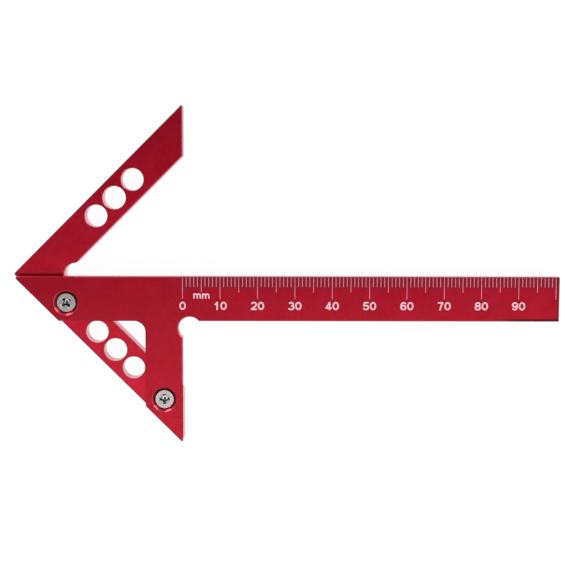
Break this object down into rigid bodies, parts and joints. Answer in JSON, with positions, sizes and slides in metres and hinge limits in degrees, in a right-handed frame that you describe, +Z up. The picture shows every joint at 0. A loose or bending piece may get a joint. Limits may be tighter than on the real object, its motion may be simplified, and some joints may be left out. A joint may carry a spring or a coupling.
{
  "type": "centre-finding square",
  "caption": "Flat marking square: a V-shaped base plate with a graduated straight blade screwed along its bisector, for finding centres and drawing 45 and 90 degree lines.",
  "frame": {"origin": "on the plane of the underside, below the middle of the tool's length, on the bisector of the V", "axes": "+X along the blade towards its free end, +Y across the blade towards the arm that it doesn't cover, +Z up out of the blade's graduated face"},
  "size_m": [0.1462, 0.0902, 0.008],
  "materials": {
    "base_anodised": "satin, bead-blasted and dyed red",
    "blade_anodised": "satin, bead-blasted and dyed red, with white graduations",
    "screw_steel": "satin, bright zinc"
  },
  "bodies": {
    "frame": {"v_base": "base_anodised", "rule_blade": "blade_anodised"},
    "apex_screw": {"blade_screw_apex": "screw_steel"},
    "tip_screw": {"blade_screw_tip": "screw_steel"}
  },
  "joints": [
    {"name": "screw_apex_turn", "type": "hinge", "parent": "frame", "child": "apex_screw", "pos_m": [-0.05897, -0.00745, 0.008], "axis": [0, 0, 1], "range_deg": [0, 2477]},
    {"name": "screw_tip_turn", "type": "hinge", "parent": "frame", "child": "tip_screw", "pos_m": [-0.03285, -0.03357, 0.008], "axis": [0, 0, 1], "range_deg": [0, 2477]}
  ]
}
